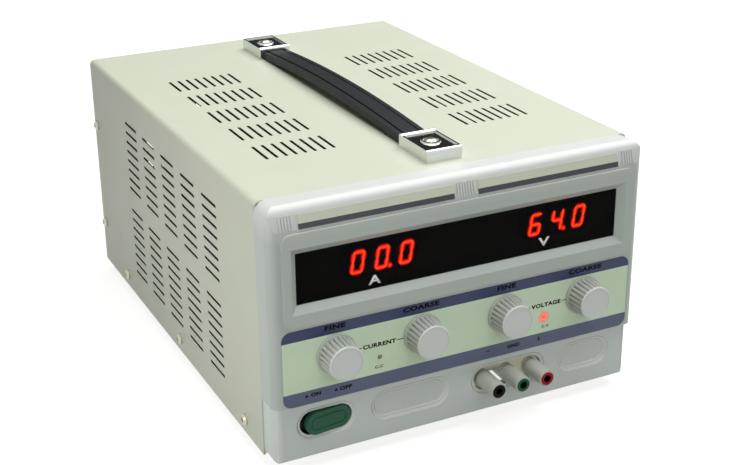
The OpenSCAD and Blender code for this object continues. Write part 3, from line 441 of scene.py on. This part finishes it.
bar_glow = lit_finish("bar_glow", tint(255, 6, 6), tint(255, 3, 5), 11.0)
bar_heart = lit_finish("bar_heart", tint(255, 76, 34), tint(255, 62, 28), 16.0)
bar_dark = Finish("bar_dark")
bar_dark.surface({
    "Base Color": bar_dark.blend(bar_dark.grain(0.004, 2), tint(40, 26, 24), tint(50, 34, 31)),
    "Roughness": 0.5 + 0.1 * bar_dark.grain(0.001, 2),
})
for meter, digits in (("amps", "000"), ("volts", "640")):
    low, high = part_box(meter + "_digits")
    middle_x = (low.x + high.x) / 2 * MM
    middle_z = (low.z + high.z) / 2 * MM + DIGIT_RAISE
    face_y = low.y * MM
    for label, thick, y, lit, finish in (
        ("glow", BAR, face_y, True, bar_glow),
        ("heart", HEART, face_y - HEART_PROUD, True, bar_heart),
        ("dark", BAR, face_y, False, bar_dark),
    ):
        bars = readout(f"{meter}_bars_{label}", middle_x, middle_z, digits, thick, y, lit)
        bars.data.materials.append(finish.material)

# The window: one sheet of dark tinted acrylic, polished, set behind the bezel. The letters of the two
# units are printed white on its face.
smoke = Finish("tinted_window")
haze = smoke.grain(0.05, 3)
smoke.surface({
    "Base Color": (0.004, 0.003, 0.0035, 1),
    "Roughness": 0.1 + 0.08 * haze,
    "Alpha": 0.74,
    "Specular IOR Level": 0.03,
})
dress(smoke, "display_window")

# Depth of a layer of ink, in metres, and its gap to what it is printed on, in millimetres.
INK_DEEP, INK_GAP = 0.00004, 0.001


def lettering(words, middle_x, middle_z, wide, tall, weight, y):
    """Printed words of a given width, height and weight, on the upright plane y, in millimetres."""
    outline = bpy.data.curves.new("printed_words", "FONT")
    outline.body = words
    outline.resolution_u = 4
    outline.offset = weight
    outline.space_character = 1.08
    holder = bpy.data.objects.new("printed_words", outline)
    bpy.context.collection.objects.link(holder)
    bpy.context.view_layer.update()
    data = bpy.data.meshes.new_from_object(holder.evaluated_get(bpy.context.evaluated_depsgraph_get()))
    bpy.data.objects.remove(holder)
    mesh = bmesh.new()
    mesh.from_mesh(data)
    bpy.data.meshes.remove(data)
    across = [v.co.x for v in mesh.verts]
    up = [v.co.y for v in mesh.verts]
    centre = Matrix.Translation((-(min(across) + max(across)) / 2, -(min(up) + max(up)) / 2, 0))
    size = Matrix.Diagonal((wide / (max(across) - min(across)), tall / (max(up) - min(up)), 1, 1))
    stand = Matrix.Translation((middle_x, y, middle_z)) @ Matrix.Rotation(math.pi / 2, 4, "X")
    bmesh.ops.transform(mesh, verts=mesh.verts, matrix=Matrix.Scale(1 / MM, 4) @ stand @ size @ centre)
    return mesh


def inked(name, meshes, finish):
    """Several printed outlines as one thin layer of ink."""
    whole = bmesh.new()
    for mesh in meshes:
        held = bpy.data.meshes.new(name)
        mesh.to_mesh(held)
        mesh.free()
        whole.from_mesh(held)
        bpy.data.meshes.remove(held)
    thicken(whole, INK_DEEP)
    layer = finished(whole, name)
    layer.data.materials.append(finish.material)
    return layer


def ink(name, shade, worn):
    """A matt printing ink, a little worn in places."""
    print_ink = Finish(name)
    return print_ink.surface({
        "Base Color": print_ink.blend(print_ink.grain(0.0016, 3), shade, worn),
        "Roughness": 0.55 + 0.15 * print_ink.grain(0.004, 2),
        "Specular IOR Level": 0.05,
    })


white_ink = ink("white_ink", tint(254, 254, 254), tint(244, 244, 246))
window_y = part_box("display_window")[0].y * MM - INK_GAP
inked("unit_letters", [
    lettering("A", -62.0, 121.6, 8.6, 6.0, 0.03, window_y),
    lettering("V", 59.8, 122.3, 8.4, 6.0, 0.03, window_y),
], white_ink)

# The control film: a printed satin film let into the bezel, pale green with a slate-blue stripe along
# its top and its bottom. The legends are printed over it in black.

# How far the painted glow of the lit lamp spreads on the film, and the heights at which the two
# stripes start, in metres.
HALO, TOP_STRIPE, LOW_STRIPE = 0.0048, 0.0931, 0.0582
film = Finish("printed_overlay")
height = film.place("Z")
top_stripe, low_stripe = height > TOP_STRIPE, height < LOW_STRIPE
weave = film.grain(0.0009, 2)
lamp_low, lamp_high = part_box("cv_lamp")
across = film.place("X") - (lamp_low.x + lamp_high.x) / 2
up = height - (lamp_low.z + lamp_high.z) / 2
painted_glow = 1 - (across * across + up * up) / HALO ** 2
painted_glow = (painted_glow > 0) * painted_glow
tone = film.grain(0.05, 2)
ground = film.blend(tone, tint(220, 240, 213), tint(215, 236, 208))
ground = film.blend(low_stripe, ground, film.blend(tone, tint(82, 92, 122), tint(76, 87, 116)))
ground = film.blend(top_stripe, ground, film.blend(tone, tint(36, 49, 90), tint(32, 45, 85)))
film.surface({
    # Round the lit lamp the film is painted red and given a faint emission: a painted glow.
    "Base Color": film.blend(1.3 * painted_glow, ground, tint(250, 110, 90)),
    "Emission Color": film.blend(painted_glow * painted_glow, (0, 0, 0, 1), tint(200, 124, 108)),
    "Emission Strength": 1.0,
    "Roughness": 0.38 + 0.14 * film.grain(0.008, 3),
    "Normal": film.relief(weave, 0.00002, 0.4),
})
dress(film, "control_overlay")

# How far a triangle's corners lie from its middle, as a share of its width.
CORNER_OUT = 0.577


def rule(left, right, middle_z, thick, y):
    """A printed straight line."""
    mesh = bmesh.new()
    bmesh.ops.create_grid(mesh, x_segments=1, y_segments=1, size=0.5)
    line = Matrix.Translation(((left + right) / 2, y, middle_z)) @ Matrix.Rotation(math.pi / 2, 4, "X")
    line = line @ Matrix.Diagonal((right - left, thick, 1, 1))
    bmesh.ops.transform(mesh, verts=mesh.verts, matrix=Matrix.Scale(1 / MM, 4) @ line)
    return mesh


def arrow_head(middle_x, middle_z, wide, y):
    """A printed triangle that points up."""
    mesh = bmesh.new()
    bmesh.ops.create_circle(mesh, cap_ends=True, segments=3, radius=wide * CORNER_OUT)
    stand = Matrix.Translation((middle_x, y, middle_z)) @ Matrix.Rotation(math.pi / 2, 4, "X")
    bmesh.ops.transform(mesh, verts=mesh.verts, matrix=Matrix.Scale(1 / MM, 4) @ stand)
    return mesh


black_ink = ink("black_ink", tint(12, 13, 15), tint(22, 23, 26))
film_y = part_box("control_overlay")[0].y * MM - INK_GAP
# Each word's middle, width, height and weight, in millimetres.
WORDS = [
    ("FINE", -90.6, 97.6, 14.0, 3.3, 0.05),
    ("COARSE", -31.2, 97.6, 25.8, 3.3, 0.05),
    ("FINE", 31.0, 97.6, 14.0, 3.3, 0.05),
    ("COARSE", 91.4, 97.4, 26.0, 3.3, 0.05),
    ("CURRENT", -60.5, 78.5, 23.0, 3.0, 0.045),
    ("VOLTAGE", 61.6, 78.4, 22.6, 3.0, 0.045),
    ("C.C", -60.9, 62.9, 5.8, 1.9, 0.03),
    ("C.V", 61.7, 62.6, 5.6, 1.9, 0.03),
    ("ON", -104.4, 54.7, 6.8, 2.6, 0.055),
    ("OFF", -84.0, 54.2, 8.6, 2.6, 0.055),
    ("GND", 37.5, 54.0, 9.4, 2.6, 0.055),
]
# Each arrow head's middle and width, and each line's two ends, height and thickness.
ARROWS = [(-110.6, 54.4, 2.6), (-90.6, 54.0, 2.6)]
LINES = [
    (-77.6, -73.0, 78.6, 0.5), (-48.4, -43.0, 78.6, 0.5),
    (44.6, 49.4, 78.4, 0.5), (73.9, 78.9, 78.4, 0.5),
    (17.2, 19.6, 54.2, 0.6), (55.7, 58.3, 54.2, 0.6),
    (56.7, 57.3, 55.3, 1.6), (56.7, 57.3, 53.1, 1.6),
]
legends = [lettering(*word, film_y) for word in WORDS]
legends += [arrow_head(*arrow, film_y) for arrow in ARROWS]
legends += [rule(*line, film_y) for line in LINES]
inked("control_legends", legends, black_ink)

# The two strips on the brow: the same satin film, stuck into shallow pockets and left blank, with a
# dark line printed along the lower edge.
STRIP_LINE = 0.0034
plate = Finish("name_strip")
edge = plate.place("Z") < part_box("name_strips")[0].z + STRIP_LINE
plate.surface({
    "Base Color": plate.blend(
        edge,
        plate.blend(plate.grain(0.03, 2), tint(206, 214, 194), tint(200, 209, 189)),
        plate.blend(plate.grain(0.03, 2), tint(44, 48, 56), tint(50, 54, 62)),
    ),
    "Roughness": 0.36 + 0.12 * plate.grain(0.006, 3),
    "Normal": plate.relief(plate.grain(0.0009, 2), 0.00002, 0.4),
})
dress(plate, "name_strips")

# The two mode lamps: small domed lenses pushed through the film. The left one is off and shows its
# grey resin, the right one is lit.
resin = Finish("lamp_resin")
resin.surface({
    "Base Color": resin.blend(resin.grain(0.0012, 2), tint(120, 112, 110), tint(92, 86, 86)),
    "Roughness": 0.18 + 0.1 * resin.grain(0.001, 2),
    "Coat Weight": 0.5,
})
dress(resin, "cc_lamp")
signal = Finish("lamp_lit")
signal.surface({
    "Base Color": tint(220, 40, 40),
    "Roughness": 0.25,
    "Emission Color": signal.blend(signal.grain(0.0012, 2), tint(255, 84, 72), tint(255, 60, 54)),
    "Emission Strength": 1.3,
})
dress(signal, "cv_lamp")

# The control shafts and pots: drawn plated cans held behind the bezel by a hexagon nut, each with a
# turned steel shaft that carries its knob.
can = Finish("pot_can")
turned = can.grain(0.0012, 2, (1, 0.1, 1))
can.surface({
    "Base Color": can.blend(turned, tint(182, 184, 186), tint(150, 152, 156)),
    "Metallic": 1.0,
    "Roughness": 0.3 + 0.2 * turned,
})
dress(can, "potentiometers", *[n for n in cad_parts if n.endswith("_shaft")])

# The knobs: moulded in light grey with rounded flutes, each pushed on its shaft and capped by a flat
# satin disc pressed into its face. The skirt is painted darker, a painted shade, and darker again in
# the flutes towards the flange; the front rim keeps the plain grey.
disc = Finish("knob_cap_grey")
disc.surface({
    "Base Color": disc.blend(disc.grain(0.01, 3), tint(223, 230, 230), tint(219, 226, 226)),
    "Roughness": 0.36 + 0.12 * disc.grain(0.003, 3),
})
FLUTES, STEPS, GROOVE = 24, 8, 0.25
# Height over the base, radius at a crest and depth of the flutes, from the shaft's bore out to the face.
KNOB_ROWS = [
    (11.0, 3.05, 0), (4.0, 3.05, 0), (4.0, 9.0, 0), (0.0, 9.0, 0),
    (0.0, 13.3, 0), (1.0, 13.3, 0), (1.2, 13.1, 0),
    (1.2, 12.3, 0.95), (5.0, 12.02, 0.95), (9.0, 11.75, 0.9),
    (12.6, 11.5, 0.8), (13.7, 11.43, 0.5), (14.3, 11.4, 0.0),
    (14.75, 11.2, 0), (15.0, 10.8, 0), (15.0, 10.05, 0), (14.0, 10.05, 0),
]


def fluted_knob(name, middle_x, base_y, middle_z):
    """A knob lathed row by row, its skirt drawn in between the crests, in millimetres."""
    mesh = bmesh.new()
    ring = bmesh.ops.create_circle(mesh, segments=FLUTES * STEPS, radius=1)["verts"]
    edges = mesh.edges[:]
    bmesh.ops.holes_fill(mesh, edges=edges)
    for row, (height, crest, depth) in enumerate(KNOB_ROWS):
        if row:
            grown = bmesh.ops.extrude_edge_only(mesh, edges=edges)["geom"]
            ring = [part for part in grown if isinstance(part, bmesh.types.BMVert)]
            sides = [part for part in grown if isinstance(part, bmesh.types.BMEdge)]
            edges = [side for side in sides if set(side.verts) <= set(ring)]
        for spot in ring:
            turn = math.atan2(spot.co.y, spot.co.x)
            drawn_in = max(0, math.cos(FLUTES * turn) + GROOVE) / (1 + GROOVE)
            radius = crest - depth * drawn_in
            spot.co = radius * math.cos(turn), radius * math.sin(turn), height
    bmesh.ops.holes_fill(mesh, edges=edges)
    bmesh.ops.recalc_face_normals(mesh, faces=mesh.faces)
    stand = Matrix.Translation((middle_x, base_y, middle_z)) @ Matrix.Rotation(math.pi / 2, 4, "X")
    bmesh.ops.transform(mesh, verts=mesh.verts, matrix=Matrix.Scale(1 / MM, 4) @ stand)
    return linked(mesh, name)


# Where the flange ends and the rim starts, in shares of the knob's height.
FLANGE, RIM = 0.09, 0.93
for control in ("current_fine", "current_coarse", "voltage_fine", "voltage_coarse"):
    face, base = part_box(control + "_knob")
    middle_x, middle_z = (face.x + base.x) / 2, (face.z + base.z) / 2
    fluted = Finish(control + "_grey")
    turn = fluted.node("ShaderNodeMath", {"operation": "ARCTAN2"}, {
        0: fluted.place("Z") - middle_z, 1: fluted.place("X") - middle_x,
    })
    wave = fluted.node("ShaderNodeMath", {"operation": "COSINE"}, {0: FLUTES * turn})
    along = (base.y - fluted.place("Y")) / (base.y - face.y)
    handled = fluted.grain(0.012, 3)
    # Painted shade: the skirt is darker than the rim, and its flute floors darker still towards the
    # flange.
    skirt_painted_shade = fluted.blend(
        (along > FLANGE) * (wave - 0.3) * 1.1 * (1.2 - along),
        fluted.blend(handled, tint(190, 195, 187), tint(184, 189, 181)),
        tint(100, 102, 96),
    )
    rim = fluted.blend(handled, tint(222, 226, 222), tint(217, 221, 217))
    fluted.surface({
        "Base Color": fluted.blend(along > RIM, skirt_painted_shade, rim),
        "Roughness": 0.3 + 0.16 * fluted.grain(0.004, 3),
        "Normal": fluted.relief(fluted.grain(0.0005, 2), 0.00002, 0.4),
    })
    knob = fluted_knob(control + "_fluted_knob", middle_x * MM, base.y * MM, middle_z * MM)
    knob.data.materials.append(fluted.material)
    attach(knob, control + "_control")
    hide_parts(control + "_knob")
    dress(disc, control + "_knob_cap")

# The power switch: a black moulded body clipped behind the oblong hole, with a dark green rocker that
# turns on pins in the body's side walls. The fan, the mains inlet and the packages inside have the
# same black plastic.
black = Finish("black_plastic")
black.surface({
    "Base Color": black.blend(black.grain(0.006, 3), tint(26, 26, 27), tint(36, 36, 37)),
    "Roughness": 0.42 + 0.18 * black.grain(0.002, 3),
    "Normal": black.relief(black.grain(0.0005, 2), 0.00002, 0.4),
})
dress(
    black, "switch_body", "fan_frame", "fan_impeller", "mains_inlet", "fuse_drawer",
    "power_transistors", "bridge_rectifier",
)
green = Finish("green_plastic")
green.surface({
    "Base Color": green.blend(green.grain(0.008, 3), tint(30, 92, 66), tint(25, 80, 57)),
    "Roughness": 0.44 + 0.14 * green.grain(0.003, 3),
    "Specular IOR Level": 0.3,
    "Normal": green.relief(green.grain(0.0005, 2), 0.00002, 0.4),
})
dress(green, "power_rocker")

# The output terminals: three brass studs through an insulating sheet, each with a moulded collar, a
# screw-down cap and a coloured bush in its mouth. A plated link joins the first two.
sheet = Finish("terminal_sheet")
fibre = sheet.grain(0.0014, 3, (1, 1, 0.3))
sheet.surface({
    "Base Color": sheet.blend(fibre, tint(244, 241, 218), tint(236, 232, 208)),
    "Roughness": 0.55 + 0.2 * fibre,
})
dress(sheet, "terminal_board")
post = Finish("post_grey")
post.surface({
    "Base Color": post.blend(post.grain(0.004, 3), tint(200, 203, 193), tint(191, 194, 184)),
    "Roughness": 0.34 + 0.16 * post.grain(0.002, 3),
})
dress(post, "post_collars", "black_post_cap", "green_post_cap", "red_post_cap")
brass = Finish("post_brass")
lathe = brass.grain(0.0004, 2, (0.2, 1, 0.2))
brass.surface({
    "Base Color": brass.blend(brass.grain(0.004, 3), tint(206, 176, 112), tint(178, 146, 84)),
    "Metallic": 1.0,
    "Roughness": 0.22 + 0.2 * lathe,
})
dress(brass, "post_studs", "post_nuts", "board_standoffs")
bright = Finish("bright_plating")
scuff = bright.grain(0.003, 4, (1, 0.25, 1))
bright.surface({
    "Base Color": bright.blend(scuff, tint(232, 233, 234), tint(220, 221, 222)),
    "Metallic": 1.0,
    "Roughness": 0.07 + 0.1 * scuff,
})
dress(bright, "ground_link", "fan_guard")
# Radius of the painted shade at a ring's mouth, where the socket hole lies, in metres.
MOUTH = 0.0027
for colour, shade, deep in (
    ("black", tint(14, 14, 15), tint(24, 24, 25)),
    ("green", tint(38, 112, 78), tint(31, 98, 66)),
    ("red", tint(184, 42, 56), tint(162, 34, 47)),
):
    bush = Finish("ring_" + colour)
    low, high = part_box(colour + "_post_ring")
    across = bush.place("X") - (low.x + high.x) / 2
    up = bush.place("Z") - (low.z + high.z) / 2
    # The socket hole in the ring's middle is painted near-black, a painted shade.
    mouth_painted_shade = across * across + up * up < MOUTH ** 2
    bush.surface({
        "Base Color": bush.blend(mouth_painted_shade, bush.blend(bush.grain(0.002, 3), shade, deep), tint(10, 10, 11)),
        "Roughness": 0.34 + 0.14 * bush.grain(0.001, 3),
        "Specular IOR Level": 0.06,
    })
    dress(bush, colour + "_post_ring")

# The handle: a ribbed strap moulded in black soft plastic over a spring strip, bowed between two
# plated caps. A screw through the plate in each cap holds it to the cover.
strap = Finish("strap_black")
pebble = strap.node("ShaderNodeTexVoronoi", {}, {"Vector": strap.place(), "Scale": 1400}, "Distance")
strap.surface({
    "Base Color": strap.blend(strap.grain(0.02, 3), tint(30, 32, 34), tint(24, 25, 27)),
    "Roughness": 0.4 + 0.2 * strap.grain(0.006, 3),
    "Specular IOR Level": 0.2,
    "Normal": strap.relief(pebble, 0.00008, 0.4),
})
dress(strap, "handle_strap")
cast_cap = Finish("cap_plating")
rubbed = cast_cap.grain(0.003, 4, (1, 0.25, 1))
cast_cap.surface({
    "Base Color": cast_cap.blend(rubbed, tint(214, 217, 212), tint(204, 207, 203)),
    "Metallic": 1.0,
    "Roughness": 0.07 + 0.1 * rubbed,
})
dress(cast_cap, "handle_caps", "handle_inserts")

# The works inside: a transformer of stacked steel with a taped winding, a black anodised sink and
# sleeved capacitors. They show through the vents only as shapes.
steel = Finish("core_steel")
stack = steel.grain(0.0007, 2, (0.05, 1, 0.05))
steel.surface({
    "Base Color": steel.blend(stack, tint(58, 60, 63), tint(42, 44, 47)),
    "Metallic": 0.3,
    "Roughness": 0.6 + 0.25 * stack,
})
dress(steel, "transformer_core")
tape = Finish("winding_tape")
tape.surface({
    "Base Color": tape.blend(tape.grain(0.004, 3, (1, 1, 0.2)), tint(208, 172, 92), tint(176, 138, 62)),
    "Roughness": 0.4 + 0.2 * tape.grain(0.006, 3),
})
dress(tape, "transformer_winding")
fin = Finish("sink_anodised")
draw = fin.grain(0.001, 2, (1, 0.05, 1))
fin.surface({
    "Base Color": fin.blend(draw, tint(48, 49, 52), tint(36, 37, 40)),
    "Metallic": 0.5,
    "Roughness": 0.45 + 0.2 * draw,
})
dress(fin, "heat_sink")
sleeve = Finish("capacitor_sleeve")
sleeve.surface({
    "Base Color": sleeve.blend(sleeve.grain(0.01, 3), tint(44, 62, 110), tint(34, 50, 94)),
    "Roughness": 0.24 + 0.14 * sleeve.grain(0.004, 3),
})
dress(sleeve, "filter_capacitors")
